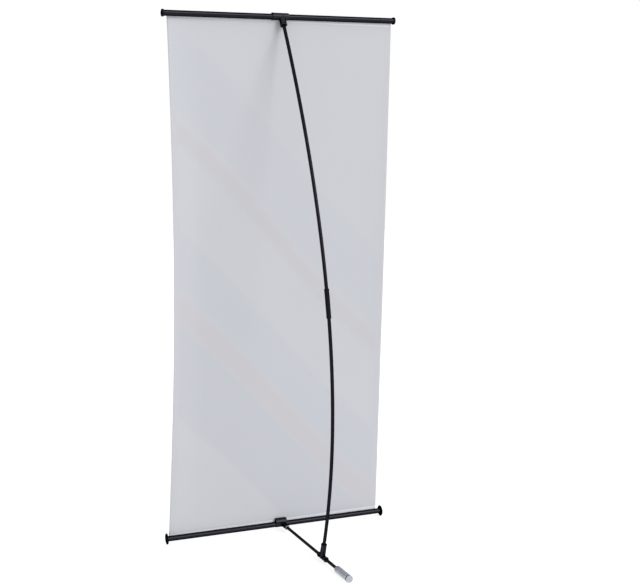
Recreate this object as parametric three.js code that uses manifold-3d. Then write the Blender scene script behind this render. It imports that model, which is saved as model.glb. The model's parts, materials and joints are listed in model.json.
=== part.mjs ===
// L-banner stand: a printed film hangs between two slotted rails, a bowed pole behind it pushes the
// top rail up, and a telescoping leg with a weight on its end holds the foot of the pole.
// Millimetres, +Z up, +Y towards the printed front, +X along the rails.
import * as THREE from "three";
import { mergeVertices } from "three/addons/utils/BufferGeometryUtils.js";
import Module from "manifold-3d";

const wasm = await Module();
wasm.setup();

// Driving dimensions.
const banner_width = 800;
const rail_spacing = 1768; // between the two rail axes, along the banner
const banner_lean = THREE.MathUtils.degToRad(2.5); // the banner leans back towards the leg
const rail_overhang = 10; // each rail runs this far past the film's side edges
const rail_diameter = 19;
const rail_wall = 1.5;
const foot_disc_radius = 19.2; // the bottom caps are the stand's front feet
const foot_distance = 354; // along the leg, from the bottom rail's axis to the foot tee
const weight_distance = 474; // along the leg, from the bottom rail's axis to the weight
const pole_diameter = 11.5;
const top_tee_place = -1.5; // where the pole meets the top rail, measured from the middle
const bottom_tee_place = 20; // and the leg the bottom rail

// Clearances and overruns that all pieces share.
const running_clearance = 0.3; // radial, and end to end where two pieces meet
const cut_overrun = 2; // how far a cutting shape runs past the face it opens
const round_sides = 48; // facets round a rail, a cap or a barrel
const small_sides = 24; // facets round a bore, a screw or a pole

// Rails.
const rail_radius = rail_diameter / 2;
const rail_bore_radius = rail_radius - rail_wall;
const slot_width = 2.4;

// The film, its hems and the rods in them.
const film_thickness = 0.4;
const film_offset = 6; // the film hangs in front of the rail axes
const hem_rod_diameter = 5;
const hem_rod_inset = 2; // from the film's side edge to the rod's end
const hang_shift_shares = { top: 0.45, bottom: -0.4 }; // each hem sits off centre by this much of the overhang
const hem_wrap = THREE.MathUtils.degToRad(250); // how far the film goes round the rod
const hem_steps = 7;
const film_rows = 16; // between the hems
const curl_band = 120; // each side edge keeps the set of the roll over this width
const curl_depth = { left: 41, right: 4 }; // how far the edge stands back at mid-height
const curl_fullness = 0.7; // under 1, the curl stays deep further up and down
const curl_hold = 12; // it starts this far from each rail's axis, clear of the slot
const curl_columns = 6;

// Caps.
const spigot_length = 4.5;
const foot_disc_thickness = 5.5;
const foot_disc_land = 2.4; // the flat rim that stands on the floor
const foot_disc_neck_radius = 12;
const top_cap_radius = 12;
const top_cap_skirt = 2.5; // how far the cap sleeves over the rail
const top_cap_face = 3.2;
const cap_edge_round = 1.4;

// The clip barrels of the two rail tees: thin under the rail and thicker above it, where a
// second circle stands over the first. Each reaches further to the left of its branch.
const top_barrel = { left: 35.5, right: 22, wall: 0.9, crown_radius: 11.6, crown_rise: 1.2, rim: true };
const bottom_barrel = { left: 28, right: 13, wall: 0.9, crown_radius: 13.5, crown_rise: 9.2, rim: false };
const barrel_rim_width = 3;
const barrel_rim_step = 0.8;
const barrel_edge = 1; // chamfer on the barrels' ends
const barrel_steps = 14; // facets round half of a barrel
const film_gap = 2; // from the film to the edge of a barrel's opening
const opening_past_axis = 3; // the opening reaches this far past the rail's axis, away from the film

// The top tee's branch, which takes the pole's upper end.
const branch_tilt = THREE.MathUtils.degToRad(29.5); // from straight down, towards the leg
const branch_length = 34; // from the rail's axis to the mouth
const branch_root_radius = 12;
const branch_radius = 11.2;
const branch_lip_radius = 11.8;
const branch_lip_width = 4.5;
const socket_floor_distance = 14; // from a tee's axis to the floor of its blind socket

// The bottom tee's stub, which holds the leg.
const stub_length = 47;
const stub_root_radius = 10;
const stub_mouth_radius = 8.8;

// Telescoping leg.
const leg_tube_diameter = 10.8;
const leg_tube_wall = 0.5;
const leg_rod_diameter = 9.2;
const leg_rod_overlap = 150; // rod inside the tube
const stop_ring_width = 2.6;
const stop_ring_thickness = 1.2;

// The foot tee: a sleeve on the leg and a leaning socket for the pole's foot.
const socket_tilt = THREE.MathUtils.degToRad(16.1); // from square to the leg, away from the banner
const foot_sleeve_near = 24; // from the socket's axis to the end nearer the banner
const foot_sleeve_far = 33;
const foot_sleeve_radius = 8.6;
const foot_lip_radius = 9.4;
const foot_lip_width = 4;
const foot_web_width = 10; // grips the rod
const foot_web_place = 17; // from the socket's axis to the middle of the web, outwards
const tube_engagement = 16; // leg tube inside the sleeve
const foot_socket_length = 50; // from the leg's axis to the mouth
const foot_socket_root_radius = 10;
const foot_socket_radius = 9.3;
const foot_socket_lip_radius = 10;
const foot_socket_flare = 0.8; // how much wider the bore is at the mouth

// Pole: two rods in a ferrule, with a cap on each far end. It is straight inside the two
// sockets and bows between their mouths.
const pole_cap_diameter = 12.9;
const pole_cap_length = 20;
const pole_cap_floor = 2;
const pole_end_gap = 0.9; // lets the foot of the pole settle as the leg hinge turns
const ferrule_length = 93;
const ferrule_diameter = 15.5;
const ferrule_bead = 0.5; // rolled bead at each end
const ferrule_bead_width = 4;
const ferrule_distance = 965; // along the pole, from its upper end to the ferrule's middle
const bow_handle_shares = { top: 0.527, foot: 0.233 }; // of the straight distance between the mouths
const pole_steps = 20; // facets along each half
const ferrule_steps = 4;

// Grub screws.
const screw_diameter = 4;
const screw_socket_diameter = 2.2;
const screw_socket_depth = 1;
const screw_sink = 0.4; // below the surface it is let into
const stub_screw_place = 41; // along the stub, from the rail's axis

// Weight on the leg's end.
const weight_length = 88.5;
const weight_radius = 11.8;
const weight_flutes = 12;
const flute_depth = 1.2;
const flute_share = 0.52; // of each flute's pitch
const weight_floor = 8.5; // solid steel beyond the blind bore
const weight_cap_thickness = 3.2;

// Sizes that follow from the ones above.
const facet_half_turn = Math.PI / round_sides;
const rail_length = banner_width + 2 * rail_overhang;
const rail_height = foot_disc_radius * Math.cos(facet_half_turn);
const weight_bore_depth = weight_length - weight_floor;
const weight_end = weight_distance + weight_length + running_clearance + weight_cap_thickness;
const leg_slope = Math.asin((rail_height - weight_radius) / weight_end); // the weight's end rests on the floor
const rod_radius = hem_rod_diameter / 2;
const hem_radius = rod_radius + running_clearance + film_thickness / 2;
const barrel_bore_radius = rail_radius + running_clearance;
const pole_radius = pole_diameter / 2;
const pole_cap_radius = pole_cap_diameter / 2;
const pole_socket_radius = pole_cap_radius + running_clearance;
const leg_tube_radius = leg_tube_diameter / 2;
const leg_rod_radius = leg_rod_diameter / 2;
const leg_tube_bore = leg_tube_radius - leg_tube_wall;
const leg_socket_radius = leg_tube_radius + running_clearance;
const rod_bore_radius = leg_rod_radius + running_clearance;
const screw_radius = screw_diameter / 2;

// Materials.
const finish = (color, roughness, metalness) => new THREE.MeshStandardMaterial({ color, roughness, metalness });
const black_coat = finish(0x25272c, 0.42, 0.35);
const black_plastic = finish(0x1b1c20, 0.5, 0);
const black_glass_fibre = finish(0x202227, 0.35, 0);
const white_film = finish(0xd3d6da, 0.45, 0);
const grey_rod = finish(0xb9bcc0, 0.5, 0);
const bright_steel = finish(0xb4b6c4, 0.3, 0.9);
const clear_plastic = finish(0xdfe2ea, 0.15, 0);

// Solid modelling helpers.
function to_solid(geometry) {
  const plain = geometry.clone();
  plain.deleteAttribute("normal");
  plain.deleteAttribute("uv");
  const merged = mergeVertices(plain, 1e-4);
  const vertProperties = new Float32Array(merged.attributes.position.array);
  const triVerts = new Uint32Array(merged.index.array);
  return new wasm.Manifold(new wasm.Mesh({ numProp: 3, vertProperties, triVerts }));
}

function to_geometry(solid) {
  const mesh = solid.getMesh();
  const geometry = new THREE.BufferGeometry();
  geometry.setAttribute("position", new THREE.BufferAttribute(new Float32Array(mesh.vertProperties), 3));
  geometry.setIndex(new THREE.BufferAttribute(new Uint32Array(mesh.triVerts), 1));
  return geometry;
}

function piece(name, geometry, material) {
  const flat = geometry.index ? geometry.toNonIndexed() : geometry;
  flat.computeVertexNormals();
  const mesh = new THREE.Mesh(flat, material);
  mesh.name = name;
  return mesh;
}

// A turned solid. The outline is pairs of radius and distance along the axis, and the axis
// runs from the given place in the given direction.
function turned(outline, sides, direction, place = new THREE.Vector3()) {
  const points = outline.map(([radius, along]) => new THREE.Vector2(radius, along));
  const geometry = new THREE.LatheGeometry(points, sides);
  const turn = new THREE.Quaternion().setFromUnitVectors(new THREE.Vector3(0, 1, 0), direction);
  geometry.applyQuaternion(turn);
  geometry.translate(place.x, place.y, place.z);
  return geometry;
}

function bar(radius, from, to, sides, direction, place) {
  return turned([[0, from], [radius, from], [radius, to], [0, to]], sides, direction, place);
}

function block(low, high) {
  const size = new THREE.Vector3().subVectors(high, low);
  const middle = new THREE.Vector3().addVectors(low, high).multiplyScalar(0.5);
  const geometry = new THREE.BoxGeometry(size.x, size.y, size.z);
  geometry.translate(middle.x, middle.y, middle.z);
  return geometry;
}

const along_x = new THREE.Vector3(1, 0, 0);
const along_y = new THREE.Vector3(0, 1, 0);
const along_z = new THREE.Vector3(0, 0, 1);
const straight_down = new THREE.Vector3(0, 0, -1);
const straight_back = new THREE.Vector3(0, -1, 0);

// Rails: round tubes, each with a slot that the film's hem hangs in. side is 1 where the slot
// faces up, as on the bottom rail, and -1 where it faces down.
function rail(name, side) {
  const half = rail_length / 2;
  const tube = turned(
    [[rail_bore_radius, -half], [rail_radius, -half], [rail_radius, half], [rail_bore_radius, half],
      [rail_bore_radius, -half]],
    round_sides, along_x,
  );
  const reach = half + cut_overrun;
  const slot_top = side * (rail_radius + cut_overrun);
  const slot = block(
    new THREE.Vector3(-reach, film_offset - slot_width / 2, Math.min(0, slot_top)),
    new THREE.Vector3(reach, film_offset + slot_width / 2, Math.max(0, slot_top)),
  );
  return piece(name, to_geometry(to_solid(tube).subtract(to_solid(slot))), black_coat);
}

// A cap's outline runs from the inner end of its spigot to its outer face, measured from the
// rail's end.
const spigot_radius = rail_bore_radius - running_clearance;

function foot_disc_outline() {
  const inner_face = running_clearance;
  const land_start = inner_face + (foot_disc_thickness - foot_disc_land) / 2;
  const land_end = land_start + foot_disc_land;
  const outer_face = inner_face + foot_disc_thickness;
  return [
    [0, -spigot_length], [spigot_radius, -spigot_length], [spigot_radius, inner_face],
    [foot_disc_neck_radius, inner_face], [foot_disc_radius, land_start], [foot_disc_radius, land_end],
    [foot_disc_radius - cap_edge_round, land_end + (outer_face - land_end) / 2],
    [foot_disc_neck_radius, outer_face], [0, outer_face],
  ];
}

function top_cap_outline() {
  const skirt_bore = rail_radius + running_clearance;
  const inner_face = running_clearance;
  const outer_face = inner_face + top_cap_face;
  return [
    [0, -spigot_length], [spigot_radius, -spigot_length], [spigot_radius, inner_face],
    [skirt_bore, inner_face], [skirt_bore, -top_cap_skirt], [top_cap_radius, -top_cap_skirt],
    [top_cap_radius, outer_face - cap_edge_round], [top_cap_radius - cap_edge_round, outer_face],
    [0, outer_face],
  ];
}

function cap(name, outline, end) {
  const geometry = turned(outline, round_sides, along_x.clone().multiplyScalar(end));
  geometry.translate(end * rail_length / 2, 0, 0);
  return piece(name, geometry, black_plastic);
}

// Turns a cap so that one facet of its rim lies flat on the floor.
function set_facet_down(geometry_piece) {
  geometry_piece.geometry.rotateX(facet_half_turn);
  return geometry_piece;
}

function hem_rod(name, shift) {
  const half = banner_width / 2 - hem_rod_inset;
  return piece(name, bar(rod_radius, shift - half, shift + half, small_sides, along_x), grey_rod);
}

// The film: one sheet that wraps each hem rod, hangs flat between the rails, and curls back
// along both side edges, most at mid-height.
const hem_rod_offset = film_offset - hem_radius;
const curl_height = rail_spacing - 2 * curl_hold;
const top_shift = hang_shift_shares.top * rail_overhang;
const bottom_shift = hang_shift_shares.bottom * rail_overhang;

function film_path() {
  const path = [];
  for (let step = 0; step < hem_steps; step += 1) {
    const angle = -hem_wrap * (1 - step / hem_steps);
    path.push({ y: hem_rod_offset + hem_radius * Math.cos(angle), z: hem_radius * Math.sin(angle), angle });
  }
  path.push({ y: film_offset, z: 0, angle: 0 });
  for (let row = 0; row <= film_rows; row += 1) {
    path.push({ y: film_offset, z: curl_hold + curl_height * row / film_rows, angle: 0 });
  }
  path.push({ y: film_offset, z: rail_spacing, angle: 0 });
  for (let step = 1; step <= hem_steps; step += 1) {
    const angle = hem_wrap * step / hem_steps;
    path.push({
      y: hem_rod_offset + hem_radius * Math.cos(angle),
      z: rail_spacing + hem_radius * Math.sin(angle),
      angle,
    });
  }
  return path;
}

function film_columns() {
  const half = banner_width / 2;
  const columns = [];
  for (let step = 0; step <= curl_columns; step += 1) {
    columns.push({ x: -half + curl_band * step / curl_columns, side: -1 });
  }
  columns.push({ x: 0, side: 0 });
  for (let step = curl_columns; step >= 0; step -= 1) {
    columns.push({ x: half - curl_band * step / curl_columns, side: 1 });
  }
  return columns;
}

// The film hangs a little askew: its hems are not quite above each other.
function hang_shift(height) {
  return THREE.MathUtils.lerp(bottom_shift, top_shift, THREE.MathUtils.clamp(height / rail_spacing, 0, 1));
}

// How far a point of the film stands back, and how far the curl draws it in.
function curl(column, height) {
  const depth_here = column.side < 0 ? curl_depth.left : curl_depth.right;
  const height_share = THREE.MathUtils.clamp((height - curl_hold) / curl_height, 0, 1);
  const depth = depth_here * Math.abs(Math.sin(Math.PI * height_share)) ** curl_fullness;
  const inside = banner_width / 2 - Math.abs(column.x);
  const share = Math.max(0, 1 - inside / curl_band);
  const edge_slope = 2 * depth / curl_band;
  const slope = edge_slope * share;
  const drawn_in = edge_slope ** 2 * curl_band * (1 - (1 - share) ** 3) / 6;
  const drawn_share = 1 - Math.max(0, inside - curl_band) / (banner_width / 2 - curl_band);
  return { back: depth * share ** 2, slope, drawn_in: column.side * drawn_in * drawn_share };
}

function film() {
  const path = film_path();
  const columns = film_columns();
  const half = film_thickness / 2;
  const positions = [];
  for (const face of [1, -1]) {
    for (const { y, z, angle } of path) {
      for (const column of columns) {
        const { back, slope, drawn_in } = curl(column, z);
        const lean_x = column.side * Math.sin(Math.atan(slope));
        const reach = face * half;
        positions.push(
          hang_shift(z) + column.x - drawn_in + reach * lean_x * Math.cos(angle),
          y - back + reach * Math.cos(angle) * Math.cos(Math.atan(slope)),
          z + reach * Math.sin(angle),
        );
      }
    }
  }
  const wide = columns.length;
  const tall = path.length;
  const at = (face, row, column) => (face * tall + row) * wide + column;
  const triangles = [];
  const quad = (a, b, c, d) => triangles.push(a, b, c, a, c, d);
  for (let row = 0; row + 1 < tall; row += 1) {
    for (let column = 0; column + 1 < wide; column += 1) {
      quad(at(0, row, column), at(0, row + 1, column), at(0, row + 1, column + 1), at(0, row, column + 1));
      quad(at(1, row, column), at(1, row, column + 1), at(1, row + 1, column + 1), at(1, row + 1, column));
    }
    quad(at(0, row, 0), at(1, row, 0), at(1, row + 1, 0), at(0, row + 1, 0));
    const last = wide - 1;
    quad(at(0, row, last), at(0, row + 1, last), at(1, row + 1, last), at(1, row, last));
  }
  const end = tall - 1;
  for (let column = 0; column + 1 < wide; column += 1) {
    quad(at(0, 0, column), at(0, 0, column + 1), at(1, 0, column + 1), at(1, 0, column));
    quad(at(0, end, column), at(1, end, column), at(1, end, column + 1), at(0, end, column + 1));
  }
  const geometry = new THREE.BufferGeometry();
  geometry.setAttribute("position", new THREE.Float32BufferAttribute(positions, 3));
  geometry.setIndex(triangles);
  return piece("banner_sheet", geometry, white_film);
}

// The outline of a clip barrel: two circles and the straight lines that touch both.
function barrel_outline(shape, growth) {
  const lower = barrel_bore_radius + shape.wall + growth;
  const upper = shape.crown_radius + growth;
  const touch = Math.asin((lower - upper) / shape.crown_rise);
  const outline = new THREE.Shape();
  outline.absarc(0, shape.crown_rise, upper, touch, Math.PI - touch, false);
  outline.absarc(0, 0, lower, Math.PI - touch, 2 * Math.PI + touch, false);
  return outline;
}

// A straight length of that outline along the rail, with chamfered ends.
function barrel_length(shape, growth, from, to) {
  const geometry = new THREE.ExtrudeGeometry(barrel_outline(shape, growth), {
    depth: to - from - 2 * barrel_edge, curveSegments: barrel_steps, bevelSegments: 1,
    bevelThickness: barrel_edge, bevelSize: barrel_edge, bevelOffset: -barrel_edge,
  });
  geometry.translate(0, 0, from + barrel_edge);
  geometry.applyMatrix4(new THREE.Matrix4().makeBasis(along_y, along_z, along_x));
  return geometry;
}

// A clip barrel round a rail, in the tee's own frame: the rail runs along X and the tee's
// branch points down. turn is the angle by which that frame is turned from upright, so the
// crown and the opening for the film stay true to the rail and the banner. side is 1 where
// the film leaves the rail upwards.
function barrel(shape, turn, side) {
  const lengths = [barrel_length(shape, 0, -shape.left, shape.right)];
  if (shape.rim) {
    lengths.push(barrel_length(shape, barrel_rim_step, -shape.left, -shape.left + barrel_rim_width));
  }
  const outside = lengths.map((geometry) => to_solid(geometry.rotateX(-turn))).reduce((all, more) => all.add(more));
  const start = -shape.left - cut_overrun;
  const end = shape.right + cut_overrun;
  const reach = shape.crown_radius + shape.crown_rise + barrel_rim_step + cut_overrun;
  const far = side * reach;
  const near = -side * opening_past_axis;
  const opening = block(
    new THREE.Vector3(start, film_offset - film_gap, Math.min(near, far)),
    new THREE.Vector3(end, reach, Math.max(near, far)),
  );
  opening.rotateX(banner_lean - turn);
  const rail_bore = bar(barrel_bore_radius, start, end, round_sides, along_x);
  return { outside, opening: to_solid(opening), rail_bore: to_solid(rail_bore) };
}

const branch_turn = -branch_tilt;

function top_tee() {
  const clip = barrel(top_barrel, branch_turn, -1);
  const lip_start = branch_length - branch_lip_width;
  const step = branch_lip_radius - branch_radius;
  const branch = turned(
    [[0, 0], [branch_root_radius, 0], [branch_radius, branch_length / 2], [branch_radius, lip_start - step],
      [branch_lip_radius, lip_start], [branch_lip_radius, branch_length - step],
      [branch_radius, branch_length], [0, branch_length]],
    round_sides, straight_down,
  );
  const socket = bar(
    pole_socket_radius, socket_floor_distance, branch_length + cut_overrun, small_sides, straight_down,
  );
  const body = clip.outside.add(to_solid(branch)).subtract(clip.rail_bore);
  return piece("top_tee", to_geometry(body.subtract(to_solid(socket)).subtract(clip.opening)), black_plastic);
}

const stub_turn = -(Math.PI / 2 - leg_slope);

function bottom_tee() {
  const clip = barrel(bottom_barrel, stub_turn, 1);
  const edge = cap_edge_round;
  const stub = turned(
    [[0, 0], [stub_root_radius, 0], [stub_root_radius, barrel_bore_radius + bottom_barrel.wall],
      [stub_mouth_radius, stub_length / 2], [stub_mouth_radius, stub_length - edge],
      [stub_mouth_radius - edge, stub_length], [0, stub_length]],
    round_sides, straight_down,
  );
  const socket = bar(
    leg_socket_radius, socket_floor_distance, stub_length + cut_overrun, small_sides, straight_down,
  );
  const screw_hole = bar(
    screw_radius + running_clearance, 0, stub_root_radius + cut_overrun, small_sides, straight_back,
    new THREE.Vector3(0, 0, -stub_screw_place),
  );
  const body = clip.outside.add(to_solid(stub)).subtract(clip.rail_bore).subtract(to_solid(socket));
  return piece(
    "bottom_tee", to_geometry(body.subtract(to_solid(screw_hole)).subtract(clip.opening)), black_plastic,
  );
}

// A grub screw along the given direction, from its tip to its socket end.
function grub_screw(name, tip, end, direction, place) {
  const rim = screw_radius - screw_socket_depth / 2;
  const geometry = turned(
    [[0, tip], [screw_radius, tip], [screw_radius, end - screw_socket_depth / 2], [rim, end],
      [screw_socket_diameter / 2, end], [screw_socket_diameter / 2, end - screw_socket_depth],
      [0, end - screw_socket_depth]],
    small_sides, direction, place,
  );
  return piece(name, geometry, bright_steel);
}

// The leg's pieces, measured down the leg from the bottom rail's axis.
const tube_start = socket_floor_distance + running_clearance;
const foot_sleeve_start = foot_distance - foot_sleeve_near;
const tube_end = foot_sleeve_start + tube_engagement;
const rod_start = tube_end - leg_rod_overlap;
const rod_end = weight_distance + weight_bore_depth - running_clearance;

function leg_tube() {
  const geometry = turned(
    [[leg_tube_bore, tube_start], [leg_tube_radius, tube_start], [leg_tube_radius, tube_end],
      [leg_tube_bore, tube_end], [leg_tube_bore, tube_start]],
    small_sides, straight_down,
  );
  return piece("leg_tube", geometry, black_coat);
}

function stop_ring() {
  const bore = leg_socket_radius;
  const start = stub_length + running_clearance;
  const end = start + stop_ring_width;
  const outer = bore + stop_ring_thickness;
  const geometry = turned(
    [[bore, start], [outer, start], [outer, end], [bore, end], [bore, start]],
    small_sides, straight_down,
  );
  return piece("leg_stop_ring", geometry, bright_steel);
}

function leg_rod() {
  return piece("leg_rod", bar(leg_rod_radius, rod_start, rod_end, small_sides, straight_down), black_coat);
}

// The foot tee, in the leg's frame: the leg points down the frame's -Z, and up from the floor
// is the frame's -Y.
const web_middle = foot_distance + foot_web_place;
const web_start = web_middle - foot_web_width / 2;
const web_end = web_middle + foot_web_width / 2;
const socket_direction = straight_back.clone().applyAxisAngle(along_x, socket_tilt);
const foot_point = new THREE.Vector3(0, 0, -foot_distance);
const sideways = along_x;

function foot_tee() {
  const start = foot_sleeve_start;
  const end = foot_distance + foot_sleeve_far;
  const step = foot_lip_radius - foot_sleeve_radius;
  const sleeve = turned(
    [[0, start], [foot_sleeve_radius, start], [foot_lip_radius, start + step],
      [foot_lip_radius, start + foot_lip_width], [foot_sleeve_radius, start + foot_lip_width + step],
      [foot_sleeve_radius, end - foot_lip_width - step], [foot_lip_radius, end - foot_lip_width],
      [foot_lip_radius, end - step], [foot_sleeve_radius, end], [0, end]],
    round_sides, straight_down,
  );
  const mouth = foot_socket_length;
  const upright = turned(
    [[0, 0], [foot_socket_root_radius, 0], [foot_socket_radius, mouth - foot_lip_width - step],
      [foot_socket_lip_radius, mouth - foot_lip_width], [foot_socket_lip_radius, mouth - step],
      [foot_socket_radius, mouth], [0, mouth]],
    round_sides, socket_direction, foot_point,
  );
  const flared_radius = pole_socket_radius + foot_socket_flare;
  const pole_socket = turned(
    [[0, socket_floor_distance], [pole_socket_radius, socket_floor_distance], [flared_radius, mouth],
      [flared_radius, mouth + cut_overrun], [0, mouth + cut_overrun]],
    small_sides, socket_direction, foot_point,
  );
  const tube_bore = bar(leg_socket_radius, start - cut_overrun, web_start, small_sides, straight_down);
  const rod_bore = bar(rod_bore_radius, start, end, small_sides, straight_down);
  const far_recess = bar(leg_socket_radius, web_end, end + cut_overrun, small_sides, straight_down);
  const screw_hole = bar(
    screw_radius + running_clearance, 0, foot_lip_radius + cut_overrun, small_sides, sideways,
    new THREE.Vector3(0, 0, -web_middle),
  );
  const body = to_solid(sleeve).add(to_solid(upright)).subtract(to_solid(pole_socket))
    .subtract(to_solid(tube_bore)).subtract(to_solid(rod_bore)).subtract(to_solid(far_recess))
    .subtract(to_solid(screw_hole));
  return piece("foot_tee", to_geometry(body), black_plastic);
}

// Weight: a fluted steel bar with a blind bore for the rod and a clear cap on its end.
function fluted_outline() {
  const shape = new THREE.Shape();
  const pitch = 2 * Math.PI / weight_flutes;
  const land_half = pitch * (1 - flute_share) / 2;
  const root_radius = weight_radius / Math.cos(land_half) - flute_depth;
  const corner_radius = weight_radius / Math.cos(land_half);
  for (let flute = 0; flute < weight_flutes; flute += 1) {
    const middle = flute * pitch;
    const corners = [
      [corner_radius, middle - land_half], [corner_radius, middle + land_half],
      [root_radius, middle + land_half * 1.5], [root_radius, middle + pitch - land_half * 1.5],
    ];
    for (const [radius, angle] of corners) {
      shape.lineTo(radius * Math.cos(angle), radius * Math.sin(angle));
    }
  }
  return shape;
}

function weight_body() {
  const geometry = new THREE.ExtrudeGeometry(fluted_outline(), {
    depth: weight_length, bevelEnabled: false, steps: 1,
  });
  geometry.translate(0, 0, -weight_distance - weight_length);
  const bore = bar(
    rod_bore_radius, weight_distance - cut_overrun, weight_distance + weight_bore_depth,
    small_sides, straight_down,
  );
  return piece("weight_body", to_geometry(to_solid(geometry).subtract(to_solid(bore))), bright_steel);
}

function weight_cap() {
  const end = weight_end;
  const start = end - weight_cap_thickness;
  const edge = cap_edge_round;
  const geometry = turned(
    [[0, start], [weight_radius, start], [weight_radius, end - edge], [weight_radius - edge, end], [0, end]],
    round_sides, straight_down,
  );
  return piece("weight_end_cap", geometry, clear_plastic);
}

// The banner frame leans back about the bottom rail's axis.
const banner = new THREE.Group();
banner.position.z = rail_height;
banner.rotation.x = banner_lean;

const top_rail_group = new THREE.Group();
top_rail_group.position.z = rail_spacing;
const top_hem_rod = hem_rod("top_hem_rod", top_shift);
top_hem_rod.position.y = hem_rod_offset;
top_rail_group.add(
  rail("top_rail", -1), top_hem_rod, cap("top_cap_left", top_cap_outline(), -1),
  cap("top_cap_right", top_cap_outline(), 1),
);
const bottom_hem_rod = hem_rod("bottom_hem_rod", bottom_shift);
bottom_hem_rod.position.y = hem_rod_offset;
banner.add(top_rail_group, film(), rail("bottom_rail", 1), bottom_hem_rod);

const feet = new THREE.Group();
feet.position.z = rail_height;
feet.add(
  set_facet_down(cap("bottom_cap_left", foot_disc_outline(), -1)),
  set_facet_down(cap("bottom_cap_right", foot_disc_outline(), 1)),
);

// The leg, with everything that it carries.
const leg = new THREE.Group();
leg.position.set(bottom_tee_place, 0, rail_height);
leg.rotation.x = stub_turn;
leg.add(
  bottom_tee(), leg_tube(), stop_ring(), leg_rod(), foot_tee(), weight_body(), weight_cap(),
  grub_screw(
    "leg_lock_screw", leg_socket_radius, stub_mouth_radius - screw_sink, straight_back,
    new THREE.Vector3(0, 0, -stub_screw_place),
  ),
  grub_screw(
    "foot_lock_screw", rod_bore_radius, foot_sleeve_radius - screw_sink, sideways,
    new THREE.Vector3(0, 0, -web_middle),
  ),
);

// The pole's ends sit in the two tees, and it bows between them.
const top_axis = new THREE.Vector3(
  top_tee_place, -rail_spacing * Math.sin(banner_lean), rail_height + rail_spacing * Math.cos(banner_lean),
);
const branch_direction = straight_down.clone().applyAxisAngle(along_x, branch_turn);
const foot_axis = foot_point.clone().applyAxisAngle(along_x, stub_turn).add(leg.position);
const upright_direction = socket_direction.clone().applyAxisAngle(along_x, stub_turn);
const pole_end_distance = socket_floor_distance + pole_end_gap + pole_cap_floor + running_clearance;
const pole_top = top_axis.clone().addScaledVector(branch_direction, pole_end_distance);
const pole_foot = foot_axis.clone().addScaledVector(upright_direction, pole_end_distance);
const top_mouth = top_axis.clone().addScaledVector(branch_direction, branch_length);
const foot_mouth = foot_axis.clone().addScaledVector(upright_direction, foot_socket_length);
const span = top_mouth.distanceTo(foot_mouth);
const bow = new THREE.CubicBezierCurve3(
  top_mouth,
  top_mouth.clone().addScaledVector(branch_direction, bow_handle_shares.top * span),
  foot_mouth.clone().addScaledVector(upright_direction, bow_handle_shares.foot * span),
  foot_mouth,
);
const bow_start = branch_length - pole_end_distance;
const bow_end = bow_start + bow.getLength();
const pole_length = bow_end + foot_socket_length - pole_end_distance;

// A stretch of the pole, between two distances from its upper end.
class Stretch extends THREE.Curve {
  constructor(from, to) {
    super();
    this.from = from;
    this.to = to;
  }

  getPoint(share, target = new THREE.Vector3()) {
    const place = this.from + (this.to - this.from) * share;
    if (place < bow_start) {
      return target.copy(pole_top).addScaledVector(branch_direction, place);
    }
    if (place > bow_end) {
      return target.copy(pole_foot).addScaledVector(upright_direction, pole_length - place);
    }
    return target.copy(bow.getPointAt((place - bow_start) / (bow_end - bow_start)));
  }
}

function round_shape(radius, bore_radius = 0) {
  const shape = new THREE.Shape().absarc(0, 0, radius, 0, 2 * Math.PI, false);
  if (bore_radius > 0) {
    shape.holes.push(new THREE.Path().absarc(0, 0, bore_radius, 0, 2 * Math.PI, true));
  }
  return shape;
}

function along_pole(shape, from, to, steps) {
  return new THREE.ExtrudeGeometry(shape, {
    extrudePath: new Stretch(from, to), steps, curveSegments: small_sides / 2, bevelEnabled: false,
  });
}

function ferrule() {
  const start = ferrule_distance - ferrule_length / 2;
  const end = ferrule_distance + ferrule_length / 2;
  const radius = ferrule_diameter / 2;
  const bore = pole_radius + running_clearance;
  const tube = to_solid(along_pole(round_shape(radius, bore), start, end, ferrule_steps));
  const bead = round_shape(radius + ferrule_bead, bore);
  const upper_bead = to_solid(along_pole(bead, start, start + ferrule_bead_width, 1));
  const lower_bead = to_solid(along_pole(bead, end - ferrule_bead_width, end, 1));
  return piece("ferrule", to_geometry(tube.add(upper_bead).add(lower_bead)), black_plastic);
}

// A cap over the pole's end: a cup with its floor beyond the pole.
function pole_cap(name, place, direction) {
  const bore = pole_radius + running_clearance;
  const floor = -running_clearance;
  const geometry = turned(
    [[0, floor - pole_cap_floor], [pole_cap_radius, floor - pole_cap_floor], [pole_cap_radius, pole_cap_length],
      [bore, pole_cap_length], [bore, floor], [0, floor]],
    small_sides, direction, place,
  );
  return piece(name, geometry, black_plastic);
}

const pole = new THREE.Group();
const half_gap = running_clearance / 2;
pole.add(
  piece(
    "pole_upper", along_pole(round_shape(pole_radius), 0, ferrule_distance - half_gap, pole_steps),
    black_glass_fibre,
  ),
  piece(
    "pole_lower", along_pole(round_shape(pole_radius), ferrule_distance + half_gap, pole_length, pole_steps),
    black_glass_fibre,
  ),
  ferrule(),
  pole_cap("pole_cap_upper", pole_top, branch_direction),
  pole_cap("pole_cap_lower", pole_foot, upright_direction),
);
const swinging_tee = new THREE.Group();
swinging_tee.position.copy(top_axis);
swinging_tee.rotation.x = branch_turn;
swinging_tee.add(top_tee());

// The origin is on the floor, in the middle of the stand's footprint.
const stand = new THREE.Group();
stand.add(banner, feet, leg, pole, swinging_tee);
stand.updateMatrixWorld(true);
const bounds = new THREE.Box3().setFromObject(stand, true);
stand.position.set(-(bounds.min.x + bounds.max.x) / 2, -(bounds.min.y + bounds.max.y) / 2, -bounds.min.z);

export default stand;
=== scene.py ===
import bisect
import json
import math

import bmesh
import bpy
from mathutils import Matrix, Quaternion, Vector, noise


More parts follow.
